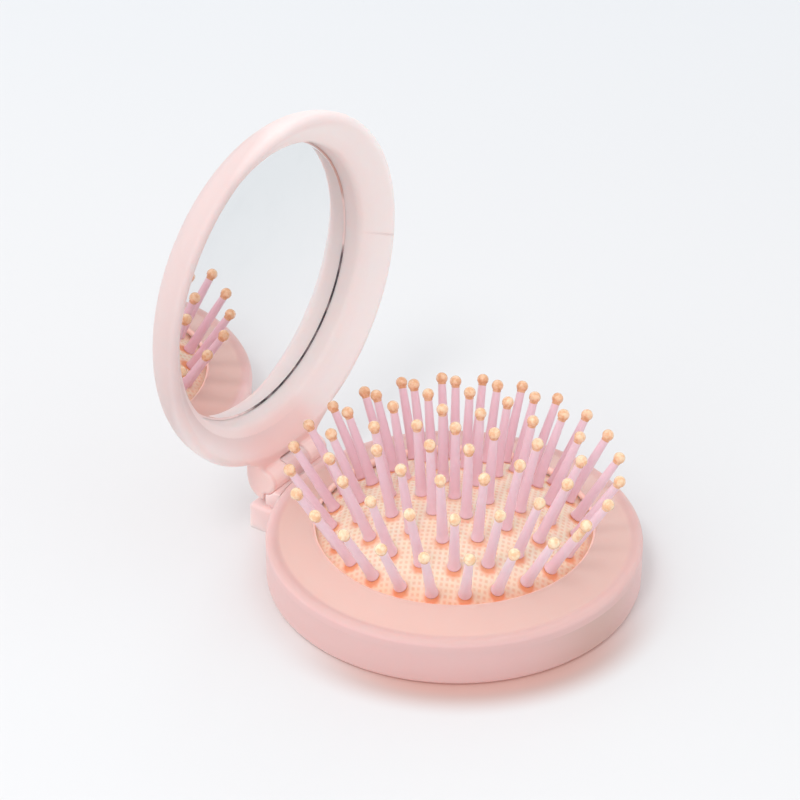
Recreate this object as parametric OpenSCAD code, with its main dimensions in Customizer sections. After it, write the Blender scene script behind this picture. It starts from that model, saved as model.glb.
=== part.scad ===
// Round folding hairbrush with a mirror in its lid.
// The base carries a domed rubber pad with rings of ball-tipped pins; the lid folds down over them on a rear hinge.
// Frame: +Z up, origin at the centre of the ring the base rests on, hinge at +Y with its axis along X.

/* [Base casing] */
// Outer radius of the base
base_r = 34.6; // [34:0.1:36]
// Height of the lower casing's side wall
shell_h = 7.0; // [6.8:0.1:7.2]
// Height of the outer bead of the upper casing
bead_z = 9.25; // [9.0:0.05:9.3]
// Radius of the groove where the bead meets the sloping band
bead_in_r = 32.3; // [31.8:0.1:32.6]
// Radius of the opening that the pad shows through
open_r = 25.45; // [25.45:0.05:25.8]
// Height of the band's inner edge
lip_z = 11.15; // [10.8:0.05:11.3]
// Radius of the recess under the base
recess_r = 26.2; // [26:0.1:26.6]

/* [Rubber pad] */
// Height of the pad's crown
crown_z = 16.6; // [16.4:0.1:16.7]
// Thickness of the rubber
pad_t = 0.7; // [0.5:0.1:0.8]

/* [Pins] */
// Length of a pin from the rubber to the centre of its ball
pin_len = 14.75; // [14:0.05:14.8]
// Radius of a ball tip
ball_r = 1.05; // [0.9:0.05:1.1]
// Shaft radius just above the flared root
shaft_r = 1.0; // [0.9:0.05:1.05]
// Shaft radius under the ball
shaft_end_r = 0.74; // [0.65:0.01:0.8]
// Radius of the flare where the pin leaves the rubber
flare_r = 1.25; // [1.15:0.05:1.3]

/* [Hinge and lid] */
// Angle between the closed lid and the open lid
open_angle = 88; // [80:1:88]
// Distance of the hinge axis from the centre
hinge_y = 37.3; // [37.2:0.05:37.6]
// Height of the hinge axis
hinge_z = 9.9; // [9.9:0.05:10.1]
// Radius of the steel hinge pin
hinge_pin_r = 0.9; // [0.8:0.05:1.0]
// Outer radius of the lid
lid_r = 34.0; // [33.8:0.1:34.2]
// Radius of the mirror glass
mirror_r = 26.95; // [26.5:0.05:26.95]
// Thickness of the mirror glass
glass_t = 0.7; // [0.6:0.1:0.7]

/* [Hidden] */

pink = "#f0c8c2";
peach = "#fbd3ab";
lilac = "#e8c3d2";
cream = "#f6cda2";

round_fn = 48;

// The pad's upper surface: flat at the crown and steeper towards the rim
pad_k = 0.003828;
pad_p = 2.35;
function pad_z(r) = crown_z - pad_k * pow(r, pad_p);
function pad_slope(r) = pad_k * pad_p * pow(r, pad_p - 1);
function pad_under(r) = let (s = pad_slope(r), n = sqrt(1 + s * s)) [r - pad_t * s / n, pad_z(r) - pad_t / n];
flange_top = 8.9;
flange_bot = flange_top - pad_t;
flange_r = 27.6;

// Rings of pins: root radius, outward tilt, count
ring_r = [0, 6.1, 12.0, 17.5, 22.4];
ring_tilt = [0, 3.7, 11.3, 21.4, 30.5];
ring_n = [1, 6, 12, 18, 24];
ring_phase = -6.5;

// Head of a pin under the rubber
head_r = 1.5;
head_t = 0.45;
neck_r = 0.85;
gap = 0.12;
pad_hole_r = 1.2;

// Lid levels, measured from the hinge axis when the lid is closed, up being towards its back
face_w = 0.35;
mirror_w = 7.75;
glass_back_w = mirror_w + glass_t;
tape_t = 0.12;
cover_in_w = glass_back_w + tape_t;

// Rim of the lid: an outer edge of radius edge_r, then a quarter-round back that ends at back_a and runs on into a dished cover
edge_r = 1.1;
back_rx = 6.91;
back_ry = 7.0;
back_cw = 1.6;
back_a = 64;
back_e = [lid_r - back_rx + back_rx * cos(back_a), back_cw + back_ry * sin(back_a)];
back_s = back_ry * cos(back_a) / (back_rx * sin(back_a));
back_run = 8;
function back_at(x) = [back_e[0] - x, back_e[1] + back_s * x - back_s / (2 * back_run) * x * x];
cover_r = back_e[0];
seat_w = back_e[1];
frame_a = back_a - 0.5;
frame_seat_w = back_cw + back_ry * sin(frame_a);

// Hinge widths
lug_half = 3.05;
slot_half = 3.2;
knuckle_half = 8.6;
knuckle_r = 4.0;
lug_r = 2.4;
block_half = 10;
block_y = 40.05;
block_z = 5.2;
saddle_half = 8.6;
saddle_y = 37.1;
saddle_z = 8.6;
saddle_gap = 0.35;

function arc(cx, cy, rx, ry, a0, a1, n) = [for (i = [0:n]) let (a = a0 + (a1 - a0) * i / n) [cx + rx * cos(a), cy + ry * sin(a)]];

// Saddle on the hinge block that fills the space between the casing's wall and the lid's barrel, on one side of the lug
module saddle(s) {
  difference() {
    translate([s > 0 ? lug_half - 0.1 : -saddle_half, 33, block_z - 0.2]) cube([saddle_half - lug_half + 0.1, saddle_y - 33, saddle_z - block_z + 0.2]);
    translate([0, 0, shell_h - 0.02]) cylinder(r = base_r + 0.04, h = 5, $fn = 120);
    translate([-block_half, hinge_y, hinge_z]) rotate([0, 90, 0]) cylinder(r = lug_r + saddle_gap, h = 2 * block_half, $fn = round_fn);
  }
}

// Lower casing: side wall, foot, ring wall under the pad, hinge block and hinge lug
module base_shell() {
  color(pink) difference() {
    union() {
      rotate_extrude($fn = 120) polygon(concat(
        [[recess_r, 0]],
        arc(base_r - 1.2, 1.2, 1.2, 1.2, -90, 0, 6),
        [[base_r, shell_h], [33.0, shell_h], [33.0, 1.5], [28.0, 1.5], [28.0, 7.2], [recess_r, 7.2]]));
      difference() {
        union() {
          translate([-block_half, 30, 0.3]) cube([2 * block_half, block_y - 0.8 - 30, block_z - 0.3]);
          translate([-block_half + 0.8, 30, 0.3]) cube([2 * block_half - 1.6, block_y - 30, block_z - 0.3]);
          for (s = [-1, 1]) translate([s * (block_half - 0.8), block_y - 0.8, 0.3]) cylinder(r = 0.8, h = block_z - 0.3, $fn = 24);
          translate([-lug_half, 33.9, 4]) cube([2 * lug_half, block_y - 33.9, shell_h - 0.1 - 4]);
          translate([-lug_half, hinge_y - lug_r, 6]) cube([2 * lug_half, block_y - hinge_y + lug_r, hinge_z - 6]);
          translate([-lug_half, hinge_y, hinge_z]) rotate([0, 90, 0]) cylinder(r = lug_r, h = 2 * lug_half, $fn = round_fn);
          for (s = [-1, 1]) saddle(s);
        }
        translate([0, 0, -1]) cylinder(r = 33.8, h = 20, $fn = 120);
        translate([-block_half + 1.4, 35.6, -1]) cube([2 * block_half - 2.8, 3.1, 4.8]);
      }
    }
    translate([-lug_half - 1, hinge_y, hinge_z]) rotate([0, 90, 0]) cylinder(r = hinge_pin_r, h = 2 * lug_half + 2, $fn = round_fn);
  }
}

// Upper casing: outer bead, sloping band, lip round the opening, clamp rib and locating skirt
band_z0 = 8.62;
band_k = (lip_z - band_z0) / (bead_in_r - open_r);
function band_z(r) = band_z0 + (bead_in_r - r) * band_k;
function band_top(r) = let (t = (r - open_r) / (bead_in_r - open_r)) band_z(r) + 0.10 * sin(180 * t) + 0.36 * pow(t, 4);
module top_bezel() {
  color(pink) rotate_extrude($fn = 120) polygon(concat(
    [[base_r, shell_h + 0.04]],
    arc(base_r - 1.15, bead_z - 1.15, 1.15, 1.15, 0, 90, 6),
    [[bead_in_r + 0.75, bead_z - 0.04], [bead_in_r + 0.25, bead_z - 0.17]],
    [for (i = [0:6]) let (r = bead_in_r - i * (bead_in_r - open_r - 0.95) / 6) [r, band_top(r)]],
    arc(open_r + 0.5, lip_z - 0.6, 0.5, 0.5, 75, 180, 5),
    [[open_r, band_z(open_r) - 1.45], [26.4, band_z(26.4) - 1.45], [26.4, flange_top], [27.6, flange_top],
     [27.6, band_z(27.6) - 1.4], [31.7, band_z(31.7) - 1.45], [31.7, 5.5], [32.95, 5.5], [32.95, shell_h + 0.04]]));
}

// A hole through the rubber for each pin
module pad_holes(k) {
  for (i = [0:ring_n[k] - 1])
    rotate([0, 0, ring_phase + i * 360 / ring_n[k]]) translate([ring_r[k], 0, pad_z(ring_r[k])]) rotate([0, ring_tilt[k], 0])
      translate([0, 0, -2.5]) cylinder(r = pad_hole_r, h = 4, $fn = 24);
}

// Domed rubber diaphragm with its clamped flange
module cushion_pad() {
  color(peach) difference() {
    rotate_extrude($fn = 120) polygon(concat(
      [for (i = [0:16]) let (r = 25.2 * i / 16) [r, pad_z(r)]],
      [[25.6, flange_top], [flange_r, flange_top], [flange_r, flange_bot], [25.4, flange_bot]],
      [for (i = [15:-1:0]) let (r = 25.2 * i / 16) pad_under(r)]));
    for (k = [0:4]) pad_holes(k);
  }
}

// Ring that clamps the flange against the upper casing
module pad_retainer() {
  color(pink) rotate_extrude($fn = 120) polygon([[26.0, 7.2], [29.0, 7.2], [29.0, flange_bot - 0.25], [28.75, flange_bot], [26.25, flange_bot], [26.0, flange_bot - 0.25]]);
}

// Steel pin, pressed through the middle lug and free in the lid's knuckles
module hinge_pin() {
  color("silver") translate([-7.3, hinge_y, hinge_z]) rotate([0, 90, 0]) rotate_extrude($fn = round_fn)
    polygon([[0, 0], [hinge_pin_r - 0.2, 0], [hinge_pin_r, 0.2], [hinge_pin_r, 15.4], [hinge_pin_r - 0.2, 15.6], [0, 15.6]]);
}

// One pin, standing on the rubber's surface at z = 0
stub_r = 0.45;
shoulder = pin_len - 0.9;
module pin_at() {
  rotate_extrude($fn = 32) polygon([
    [0, -pad_t - gap - head_t], [head_r - 0.15, -pad_t - gap - head_t], [head_r, -pad_t - gap - head_t + 0.15], [head_r, -pad_t - gap],
    [neck_r, -pad_t - gap], [neck_r, gap], [flare_r, gap], [flare_r, gap + 0.15], [flare_r - 0.12, 0.7], [shaft_r + 0.02, 1.6], [shaft_r, 2.6],
    [shaft_end_r, shoulder], [stub_r, shoulder], [stub_r, pin_len + 0.1], [0, pin_len + 0.1]]);
}

// One ball tip, moulded over the end of a pin
module tip_at() {
  translate([0, 0, pin_len]) difference() {
    sphere(r = ball_r, $fn = 32);
    translate([0, 0, -0.9 - 1]) cylinder(r = 2, h = 1, $fn = 24);
    translate([0, 0, -1]) cylinder(r = stub_r, h = 1.1, $fn = 24);
  }
}

// Places its children at pins first to last of ring k
module on_ring(k, first, last) {
  for (i = [first:last])
    rotate([0, 0, ring_phase + i * 360 / ring_n[k]]) translate([ring_r[k], 0, pad_z(ring_r[k])]) rotate([0, ring_tilt[k], 0]) children();
}

module pins_ring(k) { color(lilac) on_ring(k, 0, ring_n[k] - 1) pin_at(); }
module tips_ring(k) { color(cream) on_ring(k, 0, ring_n[k] - 1) tip_at(); }
module pins_outer(g) { color(lilac) on_ring(4, 3 * g - 3, 3 * g - 1) pin_at(); }
module tips_outer(g) { color(cream) on_ring(4, 3 * g - 3, 3 * g - 1) tip_at(); }

// Puts a piece drawn on the closed lid, centred on the base and measured up from the hinge axis, at the open angle
module lid_place() {
  translate([0, hinge_y, hinge_z]) rotate([-open_angle, 0, 0]) translate([0, -hinge_y, 0]) children();
}

// Thick ring of the lid: rounded rim, sloping wall round the mirror, neck and two knuckles
module lid_frame() {
  color(pink) lid_place() difference() {
    union() {
      rotate_extrude($fn = 120) polygon(concat(
        [[27.1, frame_seat_w], [27.1, mirror_w]],
        arc(29.15, 5.13, 1.8, 1.8, 184.6, 233.2, 5),
        arc(lid_r - edge_r, face_w + edge_r, edge_r, edge_r, 233.2, 360, 7),
        arc(lid_r - back_rx, back_cw, back_rx, back_ry, 0, frame_a, 8)));
      difference() {
        translate([0, 0, 0.15]) linear_extrude(height = 4) polygon([
          [-knuckle_half, hinge_y], [-knuckle_half, hinge_y - 3.2], [-knuckle_half - 1.2, hinge_y - 4.6], [-knuckle_half - 4.2, hinge_y - 6.4], [-knuckle_half - 4.2, 28],
          [knuckle_half + 4.2, 28], [knuckle_half + 4.2, hinge_y - 6.4], [knuckle_half + 1.2, hinge_y - 4.6], [knuckle_half, hinge_y - 3.2], [knuckle_half, hinge_y]]);
        translate([0, 0, -1]) cylinder(r = 32.8, h = 8, $fn = 120);
      }
      intersection() {
        translate([-knuckle_half, hinge_y, 0]) rotate([0, 90, 0]) cylinder(r = knuckle_r, h = 2 * knuckle_half, $fn = round_fn);
        translate([-10, 30, 0.15]) cube([20, 20, 10]);
      }
      translate([-knuckle_half, hinge_y, 0]) rotate([0, 90, 0]) cylinder(r = lug_r, h = 2 * knuckle_half, $fn = round_fn);
    }
    translate([-slot_half, hinge_y - 2.75, -5]) cube([2 * slot_half, 8, 7.85]);
    translate([-7.5, hinge_y, 0]) rotate([0, 90, 0]) cylinder(r = hinge_pin_r + 0.05, h = 20, $fn = round_fn);
  }
}

// Slightly domed back cover of the lid
module lid_back() {
  color(pink) lid_place() rotate_extrude($fn = 120) polygon(concat(
    [[0, cover_in_w], [27.15, cover_in_w], [27.15, seat_w]],
    [for (i = [0:6]) back_at(i * back_run / 6)],
    [[0, back_at(back_run)[1]]]));
}

module mirror_glass() {
  color("#dfe6ea") lid_place() translate([0, 0, mirror_w]) rotate_extrude($fn = 120)
    polygon([[0, 0], [mirror_r - 0.2, 0], [mirror_r, 0.2], [mirror_r, glass_t], [0, glass_t]]);
}

module mirror_tape() {
  color("white") lid_place() translate([0, 0, glass_back_w]) cylinder(r = 25, h = tape_t, $fn = 120);
}

base_shell();
top_bezel();
cushion_pad();
pad_retainer();
hinge_pin();
pins_ring(0);  // pins_centre
tips_ring(0);  // tips_centre
pins_ring(1);  // pins_ring_1
tips_ring(1);  // tips_ring_1
pins_ring(2);  // pins_ring_2
tips_ring(2);  // tips_ring_2
pins_ring(3);  // pins_ring_3
tips_ring(3);  // tips_ring_3
pins_outer(1);  // pins_outer_1
pins_outer(2);  // pins_outer_2
pins_outer(3);  // pins_outer_3
pins_outer(4);  // pins_outer_4
pins_outer(5);  // pins_outer_5
pins_outer(6);  // pins_outer_6
pins_outer(7);  // pins_outer_7
pins_outer(8);  // pins_outer_8
tips_outer(1);  // tips_outer_1
tips_outer(2);  // tips_outer_2
tips_outer(3);  // tips_outer_3
tips_outer(4);  // tips_outer_4
tips_outer(5);  // tips_outer_5
tips_outer(6);  // tips_outer_6
tips_outer(7);  // tips_outer_7
tips_outer(8);  // tips_outer_8
lid_frame();
lid_back();
mirror_glass();
mirror_tape();
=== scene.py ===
import math

import bmesh
import bpy
import numpy as np
from mathutils import Matrix, Vector


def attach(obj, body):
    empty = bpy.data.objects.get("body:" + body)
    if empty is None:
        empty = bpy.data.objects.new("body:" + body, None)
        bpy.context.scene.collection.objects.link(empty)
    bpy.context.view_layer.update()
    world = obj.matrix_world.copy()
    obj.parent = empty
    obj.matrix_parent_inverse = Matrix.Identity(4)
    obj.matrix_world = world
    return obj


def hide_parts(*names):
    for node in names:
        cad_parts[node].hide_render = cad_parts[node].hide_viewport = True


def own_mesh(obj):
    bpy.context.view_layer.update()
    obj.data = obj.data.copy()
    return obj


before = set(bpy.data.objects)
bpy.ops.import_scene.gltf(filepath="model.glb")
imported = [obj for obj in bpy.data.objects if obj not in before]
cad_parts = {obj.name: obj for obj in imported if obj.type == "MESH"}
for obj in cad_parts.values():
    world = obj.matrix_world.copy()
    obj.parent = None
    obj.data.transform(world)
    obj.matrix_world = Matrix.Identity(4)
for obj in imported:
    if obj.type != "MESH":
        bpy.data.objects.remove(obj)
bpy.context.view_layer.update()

MM = 0.001
rad = math.radians

# ---------------------------------------------------------------- camera
# The photograph's view: azimuth, elevation and distance from the centre of the base, and where that centre falls in the picture
AZ, EL, DIST, FOCAL = rad(-55.278), rad(31.778), 0.4816, 2600.0
U0, V0 = 453.616, 570.516
back = Vector((math.sin(AZ) * math.cos(EL), -math.cos(AZ) * math.cos(EL), math.sin(EL)))
right = Vector((math.cos(AZ), math.sin(AZ), 0))
up = back.cross(right)
cam_data = bpy.data.cameras.new("camera")
cam_data.sensor_fit = "HORIZONTAL"
cam_data.sensor_width = 36
cam_data.lens = FOCAL / 800 * 36
cam_data.clip_start, cam_data.clip_end = 0.01, 20
cam = bpy.data.objects.new("camera", cam_data)
bpy.context.scene.collection.objects.link(cam)
place = back * DIST - right * ((U0 - 400) / FOCAL * DIST) + up * ((V0 - 400) / FOCAL * DIST)
turn = Matrix((right, up, back)).transposed().to_4x4()
cam.matrix_world = Matrix.Translation(place) @ turn
bpy.context.scene.camera = cam
bpy.context.scene.view_settings.view_transform = "Standard"
bpy.context.scene.view_settings.look = "None"

# ---------------------------------------------------------------- sizes, in millimetres
BASE_R, SHELL_H, BEAD_Z, BEAD_IN_R, OPEN_R, LIP_Z, RECESS_R = 34.6, 7.0, 9.25, 32.3, 25.45, 11.15, 26.2
CROWN_Z, PAD_T, PIN_LEN, BALL_R, SHAFT_R, SHAFT_END_R, FLARE_R = 16.6, 0.7, 14.75, 1.09, 1.0, 0.74, 1.25
OPEN_ANGLE, HINGE_Y, HINGE_Z = 88.0, 37.3, 9.9
LID_R, MIRROR_R, MIRROR_W, GLASS_T = 34.0, 26.95, 7.75, 0.7
RING_R = [0, 6.1, 12.0, 17.5, 22.4]
RING_TILT = [0, 3.7, 11.3, 21.4, 30.5]
RING_N = [1, 6, 12, 18, 24]
RING_PHASE = -6.5


def pad_z(r):
    return CROWN_Z - 0.003828 * np.power(np.abs(r), 2.35)


LID_PLACE = Matrix.Translation((0, HINGE_Y, HINGE_Z)) @ Matrix.Rotation(rad(-OPEN_ANGLE), 4, "X") @ Matrix.Translation((0, -HINGE_Y, 0))


# ---------------------------------------------------------------- mesh helpers
def arc(cx, cy, rx, ry, a0, a1, n):
    return [(cx + rx * math.cos(rad(a0 + (a1 - a0) * i / n)), cy + ry * math.sin(rad(a0 + (a1 - a0) * i / n))) for i in range(n + 1)]


def rounded(points, n=5):
    """A closed outline with its corners rounded. Each point is (x, y) or (x, y, radius)."""
    out, k = [], len(points)
    for i, p in enumerate(points):
        rr = p[2] if len(p) > 2 else 0
        b = Vector(p[:2])
        a, c = Vector(points[i - 1][:2]), Vector(points[(i + 1) % k][:2])
        u, v = a - b, c - b
        if rr <= 0 or u.length < 1e-6 or v.length < 1e-6:
            out.append(tuple(b))
            continue
        u.normalize(), v.normalize()
        half = math.acos(max(-1, min(1, u.dot(v)))) / 2
        if half > rad(88):
            out.append(tuple(b))
            continue
        reach = min(rr / math.tan(half), (a - b).length * 0.48, (c - b).length * 0.48)
        r2 = reach * math.tan(half)
        centre = b + (u + v).normalized() * (r2 / math.sin(half))
        p0, p1 = b + u * reach - centre, b + v * reach - centre
        for j in range(n + 1):
            q = p0.slerp(p1, j / n) * r2 if p0.length > 1e-9 else p0
            out.append(tuple(centre + q))
    return out


def make(name, verts, faces, scale=MM):
    mesh = bpy.data.meshes.new(name)
    mesh.from_pydata([tuple(v) for v in (np.array(verts, float) * scale)], [], [tuple(f) for f in faces])
    mesh.validate()
    obj = bpy.data.objects.new(name, mesh)
    bpy.context.scene.collection.objects.link(obj)
    return obj


def tidy(obj, angle=38, recalc=True):
    """Outward normals, smooth shading, and creases kept sharp."""
    bm = bmesh.new()
    bm.from_mesh(obj.data)
    if recalc:
        bmesh.ops.recalc_face_normals(bm, faces=bm.faces)
    for f in bm.faces:
        f.smooth = True
    for e in bm.edges:
        e.smooth = not (len(e.link_faces) == 2 and e.calc_face_angle(0) > rad(angle))
    bm.to_mesh(obj.data)
    bm.free()
    return obj


def lathe_data(profile, seg, closed=True):
    """Vertices and faces of a profile [(r, z), ...] turned about Z. A point on the axis becomes one vertex."""
    prof = [p for i, p in enumerate(profile) if i == 0 or math.dist(p, profile[i - 1]) > 1e-6]
    if closed and math.dist(prof[0], prof[-1]) < 1e-6:
        prof.pop()
    verts, index = [], []
    for r, z in prof:
        if r < 1e-6:
            index.append([len(verts)] * seg)
            verts.append((0, 0, z))
        else:
            index.append(list(range(len(verts), len(verts) + seg)))
            verts += [(r * math.cos(2 * math.pi * s / seg), r * math.sin(2 * math.pi * s / seg), z) for s in range(seg)]
    faces = []
    k = len(prof)
    for j in range(k if closed else k - 1):
        a, b = index[j], index[(j + 1) % k]
        for s in range(seg):
            t = (s + 1) % seg
            f = [a[s], a[t], b[t], b[s]]
            f = [v for i, v in enumerate(f) if v not in f[:i]]
            if len(f) > 2:
                faces.append(f)
    return verts, faces


def lathe(name, profile, seg=256, closed=True):
    return make(name, *lathe_data(profile, seg, closed))


def box(name, x, y, z, bevel=0, segments=3):
    bm = bmesh.new()
    bmesh.ops.create_cube(bm, size=1)
    for v in bm.verts:
        v.co = Vector(((x[0], x[1])[v.co.x > 0], (y[0], y[1])[v.co.y > 0], (z[0], z[1])[v.co.z > 0])) * MM
    if bevel:
        bmesh.ops.bevel(bm, geom=bm.edges[:], offset=bevel * MM, segments=segments, profile=0.5, affect="EDGES")
    mesh = bpy.data.meshes.new(name)
    bm.to_mesh(mesh)
    bm.free()
    obj = bpy.data.objects.new(name, mesh)
    bpy.context.scene.collection.objects.link(obj)
    return obj


def rod(name, r, x0, x1, y, z, seg=64, bevel=0.0):
    """A round bar along X."""
    prof = rounded([(0, x0), (r, x0, bevel), (r, x1, bevel), (0, x1)], 4)
    verts, faces = lathe_data(prof, seg, closed=False)
    return make(name, [(c, a + y, b + z) for a, b, c in verts], faces)


def prism(name, outline, z0, z1):
    n = len(outline)
    verts = [(x, y, z0) for x, y in outline] + [(x, y, z1) for x, y in outline]
    faces = [list(range(n))[::-1], list(range(n, 2 * n))] + [[i, (i + 1) % n, n + (i + 1) % n, n + i] for i in range(n)]
    return make(name, verts, faces)


def baked(obj):
    """Applies the object's modifiers."""
    dg = bpy.context.evaluated_depsgraph_get()
    mesh = bpy.data.meshes.new_from_object(obj.evaluated_get(dg))
    old = obj.data
    obj.modifiers.clear()
    obj.data = mesh
    mesh.name = obj.name
    bpy.data.meshes.remove(old)
    return obj


def fix_normals(obj):
    bm = bmesh.new()
    bm.from_mesh(obj.data)
    bmesh.ops.remove_doubles(bm, verts=bm.verts, dist=1e-7)
    bmesh.ops.recalc_face_normals(bm, faces=bm.faces)
    bm.to_mesh(obj.data)
    bm.free()
    return obj


def combine(obj, *others, how="UNION"):
    """Exact boolean of obj with each of the others, which are used up."""
    fix_normals(obj)
    for o in others:
        fix_normals(o)
        m = obj.modifiers.new("b", "BOOLEAN")
        m.operation, m.solver, m.object = how, "EXACT", o
        baked(obj)
        bpy.data.objects.remove(o)
    return obj


def join(name, *objs):
    bm = bmesh.new()
    for o in objs:
        bm.from_mesh(o.data)
        bpy.data.objects.remove(o)
    mesh = bpy.data.meshes.new(name)
    bm.to_mesh(mesh)
    bm.free()
    obj = bpy.data.objects.new(name, mesh)
    bpy.context.scene.collection.objects.link(obj)
    return obj


def coords(obj):
    co = np.zeros(len(obj.data.vertices) * 3, np.float32)
    obj.data.vertices.foreach_get("co", co)
    return co.reshape(-1, 3).astype(float)


def set_coords(obj, co):
    obj.data.vertices.foreach_set("co", np.asarray(co, np.float32).ravel())
    obj.data.update()


def nearest_on(profile, pts):
    """Nearest points on a closed outline."""
    a = np.array(profile, float)
    b = np.roll(a, -1, 0)
    d = b - a
    length = np.maximum((d * d).sum(1), 1e-12)
    best = np.full(len(pts), 1e9)
    near = np.zeros_like(pts)
    for i in range(0, len(pts), 4000):
        p = pts[i : i + 4000, None, :]
        t = np.clip(((p - a) * d).sum(2) / length, 0, 1)
        q = a + d * t[..., None]
        dist = ((p - q) ** 2).sum(2)
        k = dist.argmin(1)
        rows = np.arange(len(k))
        near[i : i + 4000] = q[rows, k]
        best[i : i + 4000] = np.sqrt(dist[rows, k])
    return near, best


# ---------------------------------------------------------------- material helpers
def new_material(name, base, rough, spec=0.5, sss=0.0, radius=(1, 1, 1), reach=0.001, metallic=0.0, coat=0.0, coat_rough=0.1, ior=1.5):
    m = bpy.data.materials.new(name)
    m.use_nodes = True
    b = m.node_tree.nodes["Principled BSDF"]
    b.inputs["Base Color"].default_value = (*base, 1)
    b.inputs["Roughness"].default_value = rough
    b.inputs["Specular IOR Level"].default_value = spec
    b.inputs["IOR"].default_value = ior
    b.inputs["Metallic"].default_value = metallic
    b.inputs["Subsurface Weight"].default_value = sss
    b.inputs["Subsurface Radius"].default_value = radius
    b.inputs["Subsurface Scale"].default_value = reach
    b.inputs["Coat Weight"].default_value = coat
    b.inputs["Coat Roughness"].default_value = coat_rough
    return m, m.node_tree, b


def node(tree, kind, **values):
    n = tree.nodes.new(kind)
    for k, v in values.items():
        if hasattr(n, k) and not isinstance(getattr(n, k), bpy.types.bpy_prop_collection):
            setattr(n, k, v)
        else:
            n.inputs[k.replace("_", " ")].default_value = v
    return n


def noise(tree, scale, detail=2.0, rough=0.5, at=None):
    n = node(tree, "ShaderNodeTexNoise", Scale=scale, Detail=detail, Roughness=rough)
    if at is None:
        at = node(tree, "ShaderNodeTexCoord").outputs["Object"]
    tree.links.new(at, n.inputs["Vector"])
    return n.outputs["Fac"]


def span(tree, value, lo, hi, to_lo, to_hi, smooth=False):
    n = tree.nodes.new("ShaderNodeMapRange")
    if smooth:
        n.interpolation_type = "SMOOTHSTEP"
    tree.links.new(value, n.inputs["Value"])
    for k, v in (("From Min", lo), ("From Max", hi), ("To Min", to_lo), ("To Max", to_hi)):
        n.inputs[k].default_value = v
    return n.outputs["Result"]


def mixed(tree, fac, a, b):
    """Colour between a and b; each is a colour or a socket."""
    n = tree.nodes.new("ShaderNodeMix")
    n.data_type = "RGBA"
    tree.links.new(fac, n.inputs["Factor"])
    for socket, c in ((n.inputs[6], a), (n.inputs[7], b)):
        if isinstance(c, (tuple, list)):
            socket.default_value = (*c, 1)
        else:
            tree.links.new(c, socket)
    return n.outputs[2]


def maths(tree, how, a, b=None):
    n = tree.nodes.new("ShaderNodeMath")
    n.operation = how
    for socket, v in zip(n.inputs, (a, b)):
        if v is None:
            continue
        if isinstance(v, (int, float)):
            socket.default_value = v
        else:
            tree.links.new(v, socket)
    return n.outputs[0]


def bump(tree, bsdf, height, strength, distance, onto=None):
    n = node(tree, "ShaderNodeBump", Strength=strength, Distance=distance)
    tree.links.new(height, n.inputs["Height"])
    if onto is not None:
        tree.links.new(onto, n.inputs["Normal"])
    tree.links.new(n.outputs["Normal"], bsdf.inputs["Normal"])
    return n.outputs["Normal"]


def attribute(tree, name):
    n = tree.nodes.new("ShaderNodeAttribute")
    n.attribute_name = name
    return n.outputs["Fac"]


def paint(obj, *mats):
    obj.data.materials.clear()
    for m in mats:
        obj.data.materials.append(m)
    return obj


def float_attribute(obj, name, values):
    a = obj.data.attributes.new(name, "FLOAT", "POINT")
    a.data.foreach_set("value", np.asarray(values, np.float32))


# ---------------------------------------------------------------- materials
def frosted(name, light, deep, reach, rough=0.48, deep_tint_and_shade=None, pale=None):
    """Frosted translucent plastic: a clouded tint, a fine moulded grain and an uneven satin.
    The stronger tint is mixed in where its attribute is 1. It is the resin's stronger tint in places, and painted shade
    where it darkens parts that catch too much light. pale is the tint of the solid lumps at the hinge, which light goes
    further into; the same attribute also paints light into shaded places. A third attribute draws a fine darker
    hairline and paints shade, and a fourth makes a faint pink emission, a painted glow that lightens shade."""
    m, t, b = new_material(name, light, rough, spec=0.3, sss=0.65, radius=(1.0, 0.6, 0.54), reach=reach)
    cloud = noise(t, 55, 3, 0.55)
    tint = mixed(t, span(t, cloud, 0.25, 0.8, 0, 1, True), light, deep)
    if pale is not None:
        tint = mixed(t, attribute(t, "pale"), tint, pale)
        t.links.new(span(t, attribute(t, "pale"), 0, 1, reach, 0.0030), b.inputs["Subsurface Scale"])
    if deep_tint_and_shade is not None:
        # Stronger tint of the resin, and painted shade on the parts it darkens
        tint = mixed(t, attribute(t, "deep_tint_and_shade"), tint, deep_tint_and_shade)
        # Fine darker hairline on the lid, and painted shade on the base
        tint = mixed(t, attribute(t, "hairline_and_shade"), tint, tuple(c * 0.82 for c in deep_tint_and_shade))
    t.links.new(tint, b.inputs["Base Color"])
    # Painted glow: a faint pink emission that lightens shaded places
    b.inputs["Emission Color"].default_value = (1.0, 0.78, 0.73, 1)
    t.links.new(maths(t, "MULTIPLY", attribute(t, "through"), 0.34), b.inputs["Emission Strength"])
    t.links.new(span(t, noise(t, 900, 3, 0.6), 0.3, 0.7, rough - 0.05, rough + 0.07), b.inputs["Roughness"])
    grain = noise(t, 5200, 2, 0.7)
    soft = bump(t, b, noise(t, 420, 2, 0.5), 0.10, 0.00006)
    bump(t, b, grain, 0.16, 0.00002, soft)
    return m


casing = frosted("casing_frosted_pink", (0.815, 0.54, 0.52), (0.805, 0.525, 0.505), 0.0003, deep_tint_and_shade=(0.79, 0.53, 0.467), pale=(0.875, 0.665, 0.645))
lid_plastic = frosted("lid_frosted_pink", (1.0, 0.875, 0.855), (0.99, 0.86, 0.84), 0.0004, deep_tint_and_shade=(0.735, 0.58, 0.56), pale=(0.99, 0.655, 0.61))


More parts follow.
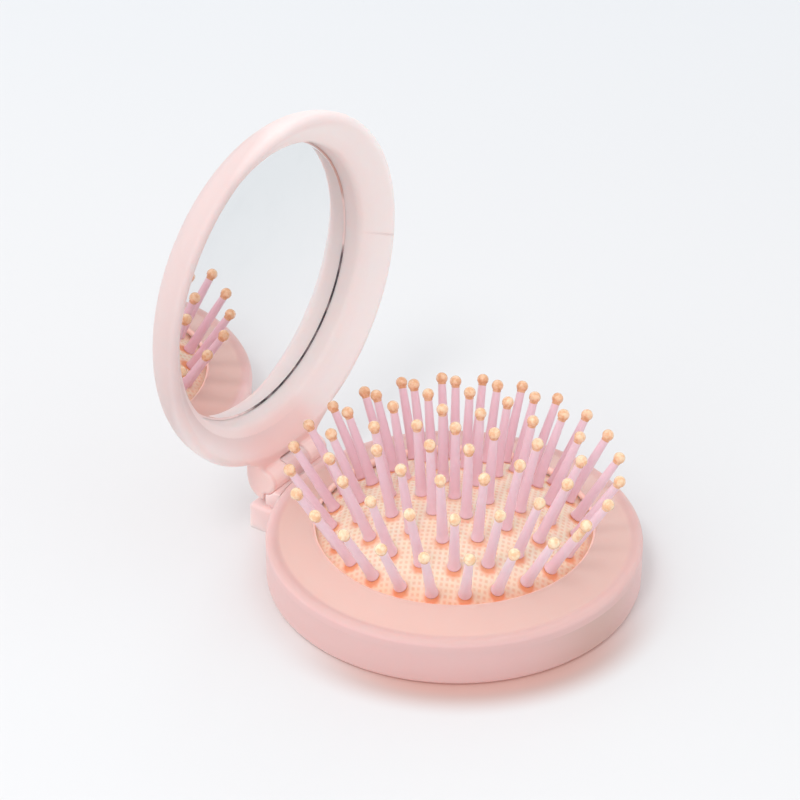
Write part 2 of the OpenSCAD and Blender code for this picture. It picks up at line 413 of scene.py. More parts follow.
def pin_material():
    m, t, b = new_material("pin_lilac", (0.86, 0.56, 0.655), 0.34, spec=0.45, sss=0.5, radius=(1.0, 0.75, 0.8), reach=0.0002)
    along = noise(t, 260, 3, 0.6)
    tint = mixed(t, span(t, along, 0.3, 0.7, 0, 1, True), (0.90, 0.735, 0.80), (0.885, 0.695, 0.76))
    # Painted shade: darker on the hinge side and towards the feet of the pins
    tint = mixed(t, attribute(t, "painted_shade"), tint, (0.80, 0.46, 0.53))
    t.links.new(tint, b.inputs["Base Color"])
    t.links.new(span(t, noise(t, 1500, 2), 0.3, 0.7, 0.28, 0.42), b.inputs["Roughness"])
    bump(t, b, noise(t, 3000, 2), 0.12, 0.00003)
    return m


def tip_material():
    m, t, b = new_material("tip_peach", (0.925, 0.60, 0.345), 0.24, spec=0.4, sss=0.5, radius=(1.0, 0.8, 0.65), reach=0.00015, coat=0.22, coat_rough=0.07)
    blotch = noise(t, 1150, 3, 0.6)
    tint = mixed(t, span(t, blotch, 0.38, 0.62, 0, 1, True), (1.0, 0.78, 0.56), (0.93, 0.585, 0.35))
    # Painted shade: darker on the hinge side and on the balls' undersides
    tint = mixed(t, attribute(t, "painted_shade"), tint, mixed(t, span(t, blotch, 0.38, 0.62, 0, 1, True), (0.86, 0.47, 0.27), (0.68, 0.30, 0.14)))
    t.links.new(tint, b.inputs["Base Color"])
    t.links.new(span(t, noise(t, 2600, 2), 0.3, 0.7, 0.10, 0.22), b.inputs["Roughness"])
    bump(t, b, noise(t, 1700, 3, 0.55), 0.38, 0.00008)
    return m


def pad_material():
    m, t, b = new_material("pad_peach_rubber", (0.95, 0.67, 0.44), 0.58, spec=0.35, sss=0.9, radius=(1.0, 0.55, 0.4), reach=0.0004)
    pit, root = attribute(t, "pit"), attribute(t, "root")
    cloud = noise(t, 90, 2)
    face = mixed(t, span(t, cloud, 0.35, 0.65, 0, 1, True), (1.0, 0.785, 0.635), (1.0, 0.765, 0.61))
    # Painted shade: the pits of the emboss are darker
    shaded_pits = mixed(t, pit, face, (0.94, 0.60, 0.43))
    # Painted shadow round the feet of the pins and along the front rim
    deep = mixed(t, root, shaded_pits, (0.85, 0.315, 0.15))
    t.links.new(deep, b.inputs["Base Color"])
    t.links.new(span(t, noise(t, 1800, 2), 0.3, 0.7, 0.5, 0.68), b.inputs["Roughness"])
    bump(t, b, noise(t, 4200, 2), 0.2, 0.00002)
    return m


def mirror_material():
    m, t, b = new_material("mirror_silver", (0.90, 0.925, 0.93), 0.012, spec=0.5, metallic=1.0)
    haze = noise(t, 45, 4, 0.6)
    t.links.new(span(t, haze, 0.35, 0.75, 0.008, 0.035, True), b.inputs["Roughness"])
    smear = span(t, noise(t, 120, 4, 0.65), 0.45, 0.75, 0, 1, True)
    # Painted reflection: the mirror is darker at its top and lighter towards the hinge, to set how bright its
    # reflection looks
    far = mixed(t, smear, (0.86, 0.885, 0.895), (0.84, 0.865, 0.875))
    near = mixed(t, smear, (1.0, 1.0, 1.0), (0.99, 0.995, 1.0))
    t.links.new(mixed(t, attribute(t, "near"), far, near), b.inputs["Base Color"])
    return m


def edge_material():
    m, t, b = new_material("mirror_edge_black", (0.05, 0.035, 0.045), 0.45)
    tint = mixed(t, span(t, noise(t, 600, 3), 0.4, 0.65, 0, 1, True), (0.035, 0.022, 0.03), (0.14, 0.09, 0.10))
    # Painted shadow: a brown line along the upper right of the edge, where the frame shades it
    tint = mixed(t, attribute(t, "painted_shadow_line"), tint, (0.50, 0.20, 0.13))
    # Painted reflection: outside the black stretch the edge takes the frame's pink
    tint = mixed(t, attribute(t, "bright"), tint, (0.90, 0.70, 0.67))
    t.links.new(tint, b.inputs["Base Color"])
    return m


def steel_material():
    m, t, b = new_material("hinge_steel", (0.62, 0.61, 0.60), 0.3, metallic=1.0)
    c = node(t, "ShaderNodeTexCoord")
    stretch = node(t, "ShaderNodeMapping")
    stretch.inputs["Scale"].default_value = (60, 3000, 3000)
    t.links.new(c.outputs["Object"], stretch.inputs["Vector"])
    lines = noise(t, 1, 3, at=stretch.outputs[0])
    t.links.new(span(t, lines, 0.3, 0.7, 0.2, 0.42), b.inputs["Roughness"])
    t.links.new(mixed(t, lines, (0.56, 0.55, 0.54), (0.68, 0.67, 0.66)), b.inputs["Base Color"])
    return m


def tape_material():
    m, t, b = new_material("tape_white", (0.86, 0.86, 0.84), 0.8)
    t.links.new(mixed(t, noise(t, 800, 3), (0.88, 0.88, 0.86), (0.78, 0.78, 0.76)), b.inputs["Base Color"])
    bump(t, b, noise(t, 1500, 3), 0.4, 0.00005)
    return m


pins_mat, tips_mat, pad_mat = pin_material(), tip_material(), pad_material()
mirror_mat, edge_mat, steel, tape = mirror_material(), edge_material(), steel_material(), tape_material()

# ---------------------------------------------------------------- base casing
shell = lathe(
    "base_casing",
    rounded(
        [
            (RECESS_R, 0, 0.35), (BASE_R, 0, 1.2), (BASE_R, SHELL_H), (33.0, SHELL_H, 0.1),
            (33.0, 1.5, 0.5), (28.0, 1.5, 0.5), (28.0, 7.2, 0.2), (RECESS_R, 7.2, 0.2),
        ],
        6,
    ),
    288,
)
block = box("b", (-10, 10), (30, 40.05), (-1.5, 5.2), 0.75, 4)
lug = box("l", (-3.05, 3.05), (33.9, 40.05), (4, 7.6), 0.15, 2)
web = box("w", (-3.05, 3.05), (34.9, 40.05), (6, 9.9), 0.15, 2)
eye = rod("e", 2.4, -3.05, 3.05, HINGE_Y, HINGE_Z, 64, 0.15)
saddle = box("s", (-8.6, 8.6), (33, 37.1), (5, 8.6), 0.3, 3)
seat = rod("s2", 2.52, -10, 10, HINGE_Y, HINGE_Z, 96)
wall = lathe("s3", [(0, 6.98), (34.64, 6.98), (34.64, 20), (0, 20)], 288, closed=False)
combine(saddle, seat, wall, how="DIFFERENCE")
combine(block, lug, web, eye, saddle)
hollow = lathe("h", [(0, -1), (33.8, -1), (33.8, 20), (0, 20)], 288, closed=False)
pocket = box("p", (-8.6, 8.6), (35.6, 38.7), (-1, 3.8), 0.3, 2)
under = box("u", (-20, 20), (20, 50), (-5, 0.06))
combine(block, hollow, pocket, under, how="DIFFERENCE")
combine(shell, block)
bore = rod("r", 0.9, -6, 6, HINGE_Y, HINGE_Z, 48)
combine(shell, bore, how="DIFFERENCE")
c = coords(shell) / MM
# The hinge lump and the hinge side take the paler tint; the shaded underside of the foot is painted paler too, as
# painted light
pale = np.maximum(np.clip((np.hypot(c[:, 0], c[:, 1]) - 35.0) / 1.5, 0, 0.9), 0.5 * np.clip((c[:, 1] - 24) / 9, 0, 1))
float_attribute(shell, "pale", np.maximum(pale, 0.4 * np.clip((1.4 - c[:, 2]) / 1.0, 0, 1)))


def shaded_side(c, centre, width):
    """Weight round one side of the casing, used for painted shade there."""
    off = (np.degrees(np.arctan2(c[:, 1], c[:, 0])) - centre + 180) % 360 - 180
    return np.exp(-((off / width) ** 2))


# Painted glow: a faint emission on the foot's fillet and in the hinge seat lightens their shade
foot = 0.28 * np.clip((1.3 - c[:, 2]) / 1.1, 0, 1) * (np.hypot(c[:, 0], c[:, 1]) > 32)
in_seat = np.abs(np.hypot(c[:, 1] - HINGE_Y, c[:, 2] - HINGE_Z) - 2.52) < 0.04
float_attribute(shell, "through", np.maximum(foot, 0.4 * in_seat))
# Painted shade: the casing is darkened round its front-right side, away from the key light, and a little round the left
float_attribute(shell, "hairline_and_shade", 0.85 * shaded_side(c, -98, 19) + 0.14 * shaded_side(c, 165, 30))
tidy(shell)
paint(shell, casing)
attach(shell, "base")
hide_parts("base_shell")

# ---------------------------------------------------------------- upper casing ring
band_k = (LIP_Z - 8.62) / (BEAD_IN_R - OPEN_R)


def band_z(r):
    return 8.62 + (BEAD_IN_R - r) * band_k


def sloped(r):
    """The band's visible face, which flattens out towards the groove."""
    t = (r - OPEN_R) / (BEAD_IN_R - OPEN_R)
    return band_z(r) + 0.10 * math.sin(math.pi * t) + 0.36 * t**4


bezel_profile = (
    [(BASE_R, SHELL_H + 0.004)]
    + arc(BASE_R - 1.15, BEAD_Z - 1.15, 1.15, 1.15, 0, 90, 16)
    + [(33.3, BEAD_Z - 0.01), (33.05, BEAD_Z - 0.04), (32.8, BEAD_Z - 0.10), (32.55, BEAD_Z - 0.17), (32.3, BEAD_Z - 0.22), (32.05, BEAD_Z - 0.23)]
    + [(r, sloped(r)) for r in np.linspace(BEAD_IN_R - 0.5, OPEN_R + 0.95, 26)]
    + arc(OPEN_R + 0.5, LIP_Z - 0.6, 0.5, 0.5, 68, 180, 10)
    + rounded([(OPEN_R, 9.2, 0.15), (26.4, 9.2), (26.4, 8.9), (27.6, 8.9), (27.6, band_z(27.6) - 1.4, 0.2), (31.7, band_z(31.7) - 1.45, 0.3), (31.7, 5.5, 0.2), (32.95, 5.5, 0.2), (32.95, SHELL_H + 0.05)], 3)[:]
)
bezel = lathe("upper_casing_ring", bezel_profile, 320)
r = np.hypot(*(coords(bezel)[:, :2] / MM).T)
float_attribute(bezel, "deep_tint_and_shade", np.clip((33.1 - r) / 1.3, 0, 1))
c = coords(bezel) / MM
# The hinge side takes the paler tint, and the lip round the opening is painted paler, as painted light in its shade
float_attribute(bezel, "pale", np.maximum(0.5 * np.clip((c[:, 1] - 24) / 9, 0, 1) * (r > 32.6), 0.8 * (r < 25.7)))
# Painted shade: the bead's top is darkened towards the front, and the side away from the key light is darkened too
crest = 0.42 * np.clip((c[:, 2] - 8.55) / 0.5, 0, 1) * np.clip((r - 31.9) / 0.9, 0, 1) * np.clip((30 - c[:, 1]) / 8, 0, 1)
# Painted glow: the lip round the opening glows faintly
float_attribute(bezel, "through", np.clip((25.95 - r) / 0.4, 0, 1))
float_attribute(bezel, "hairline_and_shade", np.maximum(crest, 0.30 * shaded_side(c, -92, 30)))
tidy(bezel, 42)
paint(bezel, casing)
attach(bezel, "base")
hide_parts("top_bezel")

# ---------------------------------------------------------------- rubber pad
GRID_PITCH, GRID_TURN = 0.97, rad(26)


def pad_mesh():
    n, edge = 276, 25.2
    s = np.linspace(-1, 1, n + 1)
    gx, gy = np.meshgrid(s, s, indexing="ij")
    # square to disc
    x = gx * np.sqrt(1 - gy * gy / 2)
    y = gy * np.sqrt(1 - gx * gx / 2)
    # the mapping lies along the emboss
    ct, st = math.cos(GRID_TURN), math.sin(GRID_TURN)
    X, Y = edge * (x * ct - y * st), edge * (x * st + y * ct)
    r = np.hypot(X, Y)
    u = (X * ct + Y * st) / GRID_PITCH
    v = (-X * st + Y * ct) / GRID_PITCH
    # raised lattice with rectangular pits between
    cu, cv = 0.5 - 0.5 * np.cos(2 * np.pi * u), 0.5 - 0.5 * np.cos(2 * np.pi * v)
    cu, cv = np.clip(cu * 1.9 - 0.35, 0, 1), np.clip(cv * 1.9 - 0.35, 0, 1)
    pit = cu * cu * (3 - 2 * cu) * cv * cv * (3 - 2 * cv)
    fade = np.clip((25.0 - r) / 0.6, 0, 1)
    root = np.zeros_like(r)
    swell = np.zeros_like(r)
    for k in range(5):
        for i in range(RING_N[k]):
            a = rad(RING_PHASE + i * 360 / RING_N[k])
            d = np.hypot(X - RING_R[k] * math.cos(a), Y - RING_R[k] * math.sin(a))
            # painted shadow: the rubber is darker and warmer round the foot of each pin, most on the side away from the
            # hinge, where the flare's shadow falls
            dd = np.hypot(X - RING_R[k] * math.cos(a) + 0.57, Y - RING_R[k] * math.sin(a) + 0.40)
            root = np.maximum(root, (0.40 + 0.13 * k) * np.clip(1.0 - (dd - 1.1) / 1.0, 0, 1) ** 1.4)
            swell = np.maximum(swell, np.clip(1.0 - (d - 1.2) / 1.1, 0, 1) ** 2)
    depth = 0.05 * pit * fade * (1 - np.clip(swell * 1.4, 0, 1))
    z = pad_z(r) - depth - 0.03 * swell
    verts = np.stack([X, Y, z], -1).reshape(-1, 3).tolist()
    idx = np.arange((n + 1) ** 2).reshape(n + 1, n + 1)
    quads = np.stack([idx[:-1, :-1], idx[1:, :-1], idx[1:, 1:], idx[:-1, 1:]], -1).reshape(-1, 4).tolist()
    attr_pit = (pit * fade * (1 - np.clip(swell * 1.4, 0, 1))).ravel().tolist()
    # Painted shade: darker and warmer towards the rim, most on the front
    facing = np.clip((-0.76 * X - 0.65 * Y) / np.maximum(r, 1e-6), 0, 1)
    root = np.maximum(root, (0.10 + 0.36 * facing) * np.clip((r - 20.0) / 5.2, 0, 1) ** 1.3)
    attr_root = root.ravel().tolist()
    rim = list(idx[:-1, 0]) + list(idx[-1, :-1]) + list(idx[:0:-1, -1]) + list(idx[0, :0:-1])
    rim = [int(i) for i in rim]
    seg = len(rim) // 4
    faces = quads

    def ring(profile_r, profile_z):
        start = len(verts)
        for j in range(seg):
            p = verts[rim[4 * j]]
            a = math.atan2(p[1], p[0])
            verts.append([profile_r * math.cos(a), profile_r * math.sin(a), profile_z])
            attr_pit.append(0.0)
            attr_root.append(0.25)
        return list(range(start, start + seg))

    first = ring(25.45, 8.98)
    for j in range(seg):
        c0, c1 = first[j], first[(j + 1) % seg]
        f = [rim[(4 * j + m) % len(rim)] for m in range(5)]
        faces += [[f[0], f[1], c0], [f[1], f[2], c0], [f[2], c1, c0], [f[2], f[3], c1], [f[3], f[4], c1]]
    last = first
    under = [(25.6, 8.9), (27.45, 8.9), (27.6, 8.75), (27.6, 8.35), (27.45, 8.2), (25.4, 8.2)]
    for rr in np.linspace(25.0, 1.5, 20):
        slope = 0.003828 * 2.35 * rr**1.35
        norm = math.sqrt(1 + slope * slope)
        under.append((rr - PAD_T * slope / norm, float(pad_z(rr)) - PAD_T / norm))
    for pr, pz in under:
        nxt = ring(pr, pz)
        for j in range(seg):
            t = (j + 1) % seg
            faces.append([last[j], last[t], nxt[t], nxt[j]])
        last = nxt
    verts.append([0, 0, CROWN_Z - PAD_T])
    attr_pit.append(0.0)
    attr_root.append(0.25)
    for j in range(seg):
        faces.append([last[j], last[(j + 1) % seg], len(verts) - 1])
    obj = make("rubber_pad", verts, faces)
    float_attribute(obj, "pit", attr_pit)
    float_attribute(obj, "root", attr_root)
    return obj


pad = pad_mesh()
tidy(pad, 60)
paint(pad, pad_mat)
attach(pad, "base")
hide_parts("cushion_pad")
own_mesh(pad)

# ---------------------------------------------------------------- pins and their tips
rng = np.random.RandomState(11)
PIN_SEG = 28


def pin_profile():
    top = PIN_LEN - 0.55
    zs = [0.02, 0.06, 0.12, 0.2, 0.3, 0.42, 0.56, 0.72, 0.9, 1.15, 1.5, 2.0, 2.6] + list(np.linspace(3.6, top, 9))
    side = []
    for z in zs:
        if z <= 2.6:
            core = SHAFT_R + 0.02
        else:
            core = SHAFT_R + (SHAFT_END_R - SHAFT_R) * (z - 2.6) / (PIN_LEN - 0.9 - 2.6)
        flare = (FLARE_R - SHAFT_R) * math.exp(-((z / 0.85) ** 1.7))
        curl = 0.0 if z > 0.3 else 0.10 * (1 - z / 0.3) ** 2
        side.append((core + flare - curl, z))
    head = [(0, -1.27), (1.35, -1.27), (1.46, -1.23), (1.5, -1.12), (1.5, -0.95), (1.46, -0.85), (1.38, -0.82), (0.85, -0.82), (0.85, 0.0)]
    return head + side + [(SHAFT_END_R * 0.7, top + 0.12), (0, top + 0.15)]


PIN_PROFILE = pin_profile()


def tip_profile(low=1.15, run=()):
    """Ball with a short collar of the same resin, which on one pin has run down the shaft."""
    out = [(0, BALL_R)]
    for a in np.linspace(82, -44, 17):
        out.append((BALL_R * math.cos(rad(a)), BALL_R * math.sin(rad(a))))
    out += [(0.79, -0.83), (0.78, -0.92), (0.77, -1.0), *run, (0.76, -low + 0.05), (0.735, -low), (0.5, -low + 0.03), (0.0, -low + 0.05)]
    return out


TIP_PROFILE = tip_profile()
DRIP = (4, 18)
DRIP_PROFILE = tip_profile(4.6, [(0.79, -1.3), (0.80, -1.7), (0.81, -2.2), (0.83, -2.7), (0.86, -3.2), (0.87, -3.6), (0.85, -4.0), (0.80, -4.35)])


def pin_frame(k, i):
    a = rad(RING_PHASE + i * 360 / RING_N[k])
    return (
        Matrix.Rotation(a, 4, "Z")
        @ Matrix.Translation((RING_R[k], 0, float(pad_z(RING_R[k]))))
        @ Matrix.Rotation(rad(RING_TILT[k]), 4, "Y")
    )


def pin_painted_shade(m, z):
    """Painted shade: the pins and balls are darker on the hinge side, in the lid's shade, and on the balls' undersides.
    """
    x, y = m.translation[:2]
    across = min(max((0.80 * x + 0.60 * y + 26) / 52, 0), 1)
    return 0.55 * across**1.4 + 0.30 * max(0, 1 - abs(z + 0.85) / 0.85)


def pins_object(name, which):
    verts, faces, painted_shades = [], [], []
    pv, pf = lathe_data(PIN_PROFILE, PIN_SEG, closed=False)
    for k, i in which:
        m = pin_frame(k, i)
        start = len(verts)
        spin = Matrix.Rotation(rng.uniform(0, 6.28), 4, "Z")
        verts += [tuple(m @ (spin @ Vector(v))) for v in pv]
        faces += [[j + start for j in f] for f in pf]
        deep = pin_painted_shade(m, 0)
        # Painted shade, stronger towards the foot of the pin
        painted_shades += [deep * 0.9 + 0.25 * (1 - min(max(v[2] / PIN_LEN, 0), 1)) for v in pv]
    obj = make(name, verts, faces)
    float_attribute(obj, "painted_shade", painted_shades)
    return obj


def tips_object(name, which):
    verts, faces = [], []
    painted_shades = []
    for k, i in which:
        tv, tf = lathe_data(DRIP_PROFILE if (k, i) == DRIP else TIP_PROFILE, 40, closed=False)
        m = pin_frame(k, i) @ Matrix.Translation((0, 0, PIN_LEN - 0.03))
        start = len(verts)
        lean = rng.uniform(-1, 1, 3)
        fat = 1 + 0.02 * rng.uniform(-1, 1)
        for v in tv:
            p = Vector(v)
            if p.z > -0.9:
                p *= fat
                p += Vector((lean[0], lean[1], 0)) * 0.02 * (p.z + 1.0)
            verts.append(tuple(m @ p))
        faces += [[j + start for j in f] for f in tf]
        painted_shades += [pin_painted_shade(m, v[2]) for v in tv]
    obj = make(name, verts, faces)
    float_attribute(obj, "painted_shade", painted_shades)
    return obj


GROUPS = [("middle", "pins_middle", [(0, 0)] + [(1, i) for i in range(6)], ["centre", "ring_1"]),
          ("second", "pins_second", [(2, i) for i in range(12)], ["ring_2"]),
          ("third", "pins_third", [(3, i) for i in range(18)], ["ring_3"])]
for g in range(1, 9):
    GROUPS.append((f"edge_{g}", f"pins_edge_{g}", [(4, i) for i in range(3 * g - 3, 3 * g)], [f"outer_{g}"]))
for tag, body, which, nodes in GROUPS:
    o = tidy(pins_object(f"bristles_{tag}", which), 50)
    paint(o, pins_mat)
    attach(o, body)
    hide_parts(*[f"pins_{n}" for n in nodes])
    o = tidy(tips_object(f"balls_{tag}", which), 60)
    paint(o, tips_mat)
    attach(o, body)
    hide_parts(*[f"tips_{n}" for n in nodes])

# ---------------------------------------------------------------- lid
LID_PROFILE = (
    [(27.1, 7.86), (27.1, MIRROR_W)]
    + arc(29.15, 5.13, 1.8, 1.8, 184.6, 233.2, 14)
    + arc(LID_R - 1.1, 1.45, 1.1, 1.1, 233.2, 360, 24)
    + arc(LID_R - 6.91, 1.6, 6.91, 7.0, 0, 61.5, 34)
    + [(30.2, 7.83), (30.05, 7.86)]
)
ring = lathe("lid_ring", LID_PROFILE, 300)
outline = []
for s in np.linspace(0, 1, 15):
    ease = 3 * s * s - 2 * s**3
    outline.append((-8.6 - 4.6 * ease, HINGE_Y - 2.6 - 4.6 * s))
outline = [(-8.6, HINGE_Y)] + outline + [(-13.2, 28)]
outline = outline + [(-x, y) for x, y in outline[::-1]]
neck = prism("n", outline, 0.15, 4.15)
barrel_out = rod("k", 4.0, -8.6, 8.6, HINGE_Y, 0, 96, 0.35)
cut = box("c", (-12, 12), (30, 50), (-9, 0.15))
combine(barrel_out, cut, how="DIFFERENCE")
barrel_in = rod("k2", 2.4, -8.6, 8.6, HINGE_Y, 0, 96, 0.35)
hub = lathe("hub", [(0, -3), (32.8, -3), (32.8, 8), (0, 8)], 300, closed=False)
combine(neck, hub, how="DIFFERENCE")
combine(neck, barrel_out, barrel_in)
slot_cut = box("s", (-3.2, 3.2), (34.55, 44), (-6, 2.85))
bore = rod("r", 0.95, -7.5, 12.5, HINGE_Y, 0, 48)
combine(neck, slot_cut, bore, how="DIFFERENCE")
ring = join("lid_ring_frame", ring, neck)
m = ring.modifiers.new("r", "REMESH")
m.mode, m.voxel_size, m.adaptivity = "VOXEL", 0.00027, 0
baked(ring)
m = ring.modifiers.new("s", "SMOOTH")
m.factor, m.iterations = 0.5, 4
baked(ring)
# Away from the neck the ring lies exactly on its turned outline
co = coords(ring) / MM
r = np.hypot(co[:, 0], co[:, 1])
near, gap = nearest_on(LID_PROFILE, np.stack([r, co[:, 2]], 1))
angle = np.degrees(np.arctan2(co[:, 0], co[:, 1]))
w = np.clip((np.abs(angle) - 27) / 4, 0, 1)
w = np.where(gap > 0.45, 0, w * w * (3 - 2 * w))
scale = (r + (near[:, 0] - r) * w) / np.maximum(r, 1e-9)
co[:, 0] *= scale
co[:, 1] *= scale
co[:, 2] += (near[:, 1] - co[:, 2]) * w
set_coords(ring, co * MM)
# The tint is stronger on the outside and towards the hinge; as painted shade it is stronger on the left flank and on
# the top crest, to darken them
r = np.hypot(co[:, 0], co[:, 1])
rear = np.clip((co[:, 1] - 12) / 22, 0, 1)
behind = np.clip((co[:, 2] - 1.0) / 3.0, 0, 1) * (r > 29) * np.clip((8 - co[:, 0]) / 16, 0.05, 1)
behind = np.maximum(behind, np.clip((co[:, 2] - 4.5) / 2.0, 0, 1) * (r > 29))
flank = np.clip((-co[:, 0] - 2) / 15, 0, 1) * np.clip((24 - co[:, 1]) / 18, 0.15, 1)
round_at = np.degrees(np.arctan2(co[:, 1], co[:, 0]))
crown = np.exp(-(((round_at + 82) / 26) ** 2)) * np.clip((r - 30.8) / 2.0, 0, 1)
float_attribute(ring, "deep_tint_and_shade", np.clip(0.04 * rear + 0.7 * behind + 0.85 * flank + 0.45 * crown, 0, 1))
rose = np.clip((co[:, 1] - 19) / 15, 0, 1) * np.clip((co[:, 0] + 24) / 16, 0, 1) * np.clip((7 - co[:, 2]) / 3, 0, 1) * np.clip((13 - co[:, 0]) / 8, 0, 1)
wall = np.clip((29.8 - r) / 2.0, 0, 1)
# Near the hinge the ring takes a rose tint; the inner wall is painted a deeper pink in its shade
float_attribute(ring, "pale", np.maximum(0.9 * rose * rose * (3 - 2 * rose), 0.18 * wall))
# A fine darker hairline across the outer half of the ring's right side
turn = np.degrees(np.arctan2(co[:, 1], co[:, 0])) - 4.4 + 0.44 * (33.9 - r)
hairline_and_shade = np.clip(1.3 - np.abs(np.radians(turn) * r) / 0.22, 0, 1)
float_attribute(ring, "hairline_and_shade", hairline_and_shade * np.clip((r - 27.4) / 4, 0, 1) * (co[:, 0] > 0) * (co[:, 2] < 5) * 0.5)
# Painted glow: a faint emission on part of the ring's front and round the hinge knuckle lightens their shade
wall_glow = 0.20 * np.exp(-(((round_at + 55) / 55) ** 2)) * (co[:, 2] < 5)
float_attribute(ring, "through", np.maximum(wall_glow, 0.26 * (np.hypot(co[:, 1] - HINGE_Y, co[:, 2]) < 2.9) * (np.abs(co[:, 0]) < 7.6)))
ring.data.transform(LID_PLACE_M := Matrix.Scale(MM, 4) @ LID_PLACE @ Matrix.Scale(1 / MM, 4))
tidy(ring, 50)
paint(ring, lid_plastic)
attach(ring, "lid")
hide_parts("lid_frame")


def in_lid(obj):
    obj.data.transform(LID_PLACE_M)
    return obj


def back_at(x):
    """The domed back, x in from where it meets the rim."""
    slope = 7.0 * math.cos(rad(64)) / (6.91 * math.sin(rad(64)))
    return (LID_R - 6.91 + 6.91 * math.cos(rad(64)) - x, 1.6 + 7.0 * math.sin(rad(64)) + slope * x - slope / 16 * x * x)


inner_w = MIRROR_W + GLASS_T + 0.12
cover = in_lid(
    lathe(
        "lid_back_cover",
        [(0, inner_w), (27.0, inner_w), (27.15, inner_w - 0.1), (27.15, 7.95), (27.2, 7.9), (29.9, 7.9), (30.02, 7.93)]
        + [back_at(x) for x in np.linspace(0.12, 8, 24)]
        + [(20, back_at(8)[1]), (14, back_at(8)[1]), (7, back_at(8)[1]), (0, back_at(8)[1])],
        300,
        closed=False,
    )
)
tidy(cover, 40)
float_attribute(cover, "deep_tint_and_shade", [0.7] * len(cover.data.vertices))
paint(cover, lid_plastic)
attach(cover, "lid")
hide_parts("lid_back")

glass = in_lid(
    lathe(
        "mirror",
        [(r, MIRROR_W + d) for r, d in ((0, 0), (10, 0), (20, 0), (26.5, 0), (26.66, 0), (26.74, -0.015), (26.86, -0.07), (26.96, -0.14), (27.03, -0.22), (27.06, -0.28), (27.075, -0.26), (27.075, GLASS_T - 0.1), (26.9, GLASS_T), (0, GLASS_T))],
        300,
        closed=False,
    )
)
local = np.array([LID_PLACE_M.inverted() @ v.co for v in glass.data.vertices])
turn = np.degrees(np.arctan2(local[:, 1], local[:, 0]))
chipped = 0.12 * np.sin(np.radians(turn) * 23) + 0.10 * np.sin(np.radians(turn) * 61 + 1)
whole = np.clip((turn - 9) / 4, 0, 1) * np.clip((104 - turn) / 16, 0, 1)
# Painted shadow line along the upper right of the edge
painted_shadow_line = np.clip((turn + 58) / 12, 0, 1) * np.clip((-12 - turn) / 5, 0, 1)
float_attribute(glass, "painted_shadow_line", painted_shadow_line)
# Painted reflection: weight for the mirror's lighter part towards the hinge
float_attribute(glass, "near", np.clip((local[:, 1] / MM + 20) / 40, 0, 1))
# Painted reflection: beyond the black stretch the edge is painted the frame's pink
float_attribute(glass, "bright", np.clip((1 - 0.6 * painted_shadow_line) * (1 - whole) + chipped * (whole > 0), 0, 1))
tidy(glass, 30)
paint(glass, mirror_mat, edge_mat)
for f in glass.data.polygons:
    c = LID_PLACE_M.inverted() @ f.center
    if math.hypot(c.x, c.y) > 26.74 * MM or c.z > (MIRROR_W + 0.25) * MM:
        f.material_index = 1
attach(glass, "lid")
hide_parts("mirror_glass")

for name, mat in (("hinge_pin", steel), ("mirror_tape", tape), ("pad_retainer", casing)):
    paint(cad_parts[name], mat)

# ---------------------------------------------------------------- floor, light
floor = make("floor", [(-6000, -6000, 0), (6000, -6000, 0), (6000, 6000, 0), (-6000, 6000, 0)], [(0, 1, 2, 3)])
fm, ft, fb = new_material("floor_white", (0.81, 0.81, 0.812), 0.32, spec=0.5)
ground = node(ft, "ShaderNodeTexCoord").outputs["Object"]
paper = mixed(ft, span(ft, noise(ft, 3, 2), 0.35, 0.65, 0, 1, True), (0.768, 0.768, 0.771), (0.778, 0.778, 0.778))
split = ft.nodes.new("ShaderNodeSeparateXYZ")
ft.links.new(ground, split.inputs[0])
away = maths(ft, "ADD", maths(ft, "MULTIPLY", split.outputs[0], 0.822), maths(ft, "MULTIPLY", split.outputs[1], 0.570))
# Painted light: the floor is painted bluer towards the back
cool = mixed(ft, span(ft, away, 0.05, 0.45, 0, 1, True), paper, (0.77, 0.793, 0.815))
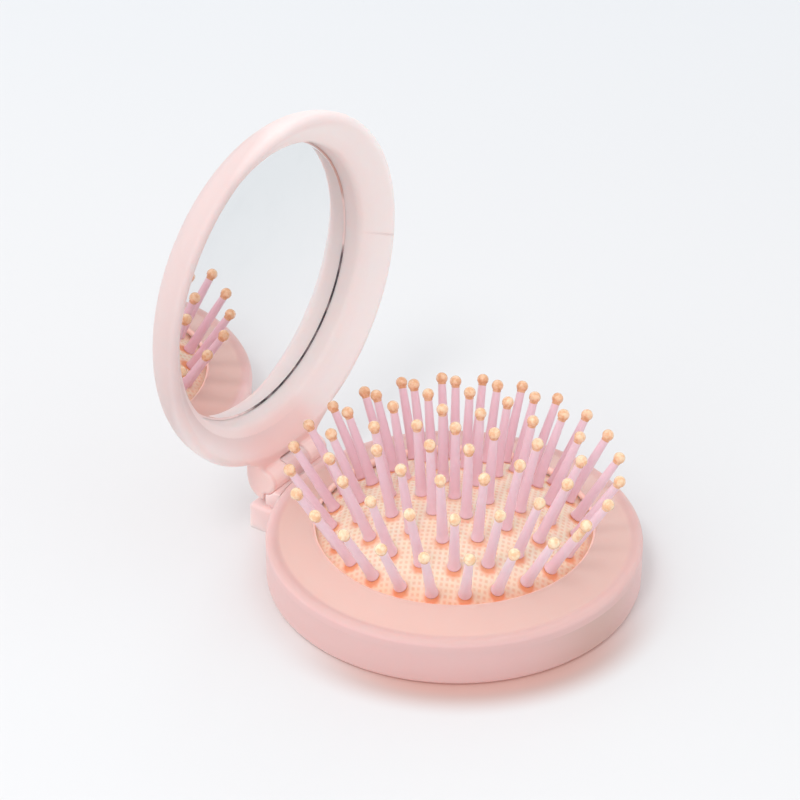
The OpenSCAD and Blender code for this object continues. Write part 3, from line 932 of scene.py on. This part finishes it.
# Painted light and shade: the floor round the casing's foot is painted darker and pink, and glows faintly, for the
# contact shadow and for light scattered out of the translucent casing
shift = node(ft, "ShaderNodeVectorMath")
shift.operation = "SUBTRACT"
ft.links.new(ground, shift.inputs[0])
shift.inputs[1].default_value = (-0.0013, -0.00175, 0)
reach = node(ft, "ShaderNodeVectorMath")
reach.operation = "LENGTH"
ft.links.new(shift.outputs[0], reach.inputs[0])
out_r = reach.outputs["Value"]
aim = node(ft, "ShaderNodeVectorMath")
aim.operation = "NORMALIZE"
ft.links.new(ground, aim.inputs[0])
side = node(ft, "ShaderNodeVectorMath")
side.operation = "DOT_PRODUCT"
ft.links.new(aim.outputs[0], side.inputs[0])
side.inputs[1].default_value = (-0.706, -0.708, 0)
glow_side = span(ft, side.outputs["Value"], 0.42, 1.0, 0.14, 1, True)
glow = mixed(ft, maths(ft, "MULTIPLY", span(ft, out_r, 0.0335, 0.0415, 1, 0, True), glow_side), (1.0, 1.0, 1.0), (0.72, 0.475, 0.42))
tinted = ft.nodes.new("ShaderNodeMix")
tinted.data_type, tinted.blend_type = "RGBA", "MULTIPLY"
tinted.inputs["Factor"].default_value = 1
ft.links.new(cool, tinted.inputs[6])
ft.links.new(glow, tinted.inputs[7])
ft.links.new(tinted.outputs[2], fb.inputs["Base Color"])
fb.inputs["Emission Color"].default_value = (1.0, 0.50, 0.44, 1)
ft.links.new(maths(ft, "MULTIPLY", span(ft, out_r, 0.0335, 0.0362, 0.09, 0, True), glow_side), fb.inputs["Emission Strength"])
paint(floor, fm)

world = bpy.data.worlds.new("studio")
bpy.context.scene.world = world
world.use_nodes = True
world.node_tree.nodes["Background"].inputs["Color"].default_value = (0.96, 0.975, 1.0, 1)
world.node_tree.nodes["Background"].inputs["Strength"].default_value = 0.94


def softbox(name, place, target, size, power, colour=(1, 1, 1)):
    data = bpy.data.lights.new(name, "AREA")
    data.shape = "RECTANGLE"
    data.size, data.size_y = size
    data.energy = power
    data.color = colour
    o = bpy.data.objects.new(name, data)
    bpy.context.scene.collection.objects.link(o)
    o.location = place
    o.rotation_mode = "QUATERNION"
    o.rotation_quaternion = (Vector(target) - Vector(place)).to_track_quat("-Z", "Y")
    return o


softbox("overhead", (-0.36, 0.48, 0.74), (0, 0, 0.01), (1.0, 1.0), 2.15, (1, 0.985, 0.97))
softbox("front_fill", (0.35, -0.95, 0.45), (0, 0, 0.03), (0.8, 0.6), 0.55, (0.98, 0.99, 1))
softbox("sparkle", (-0.45, -0.05, 0.70), (0, 0, 0.02), (0.2, 0.2), 1.3, (1, 1, 1))
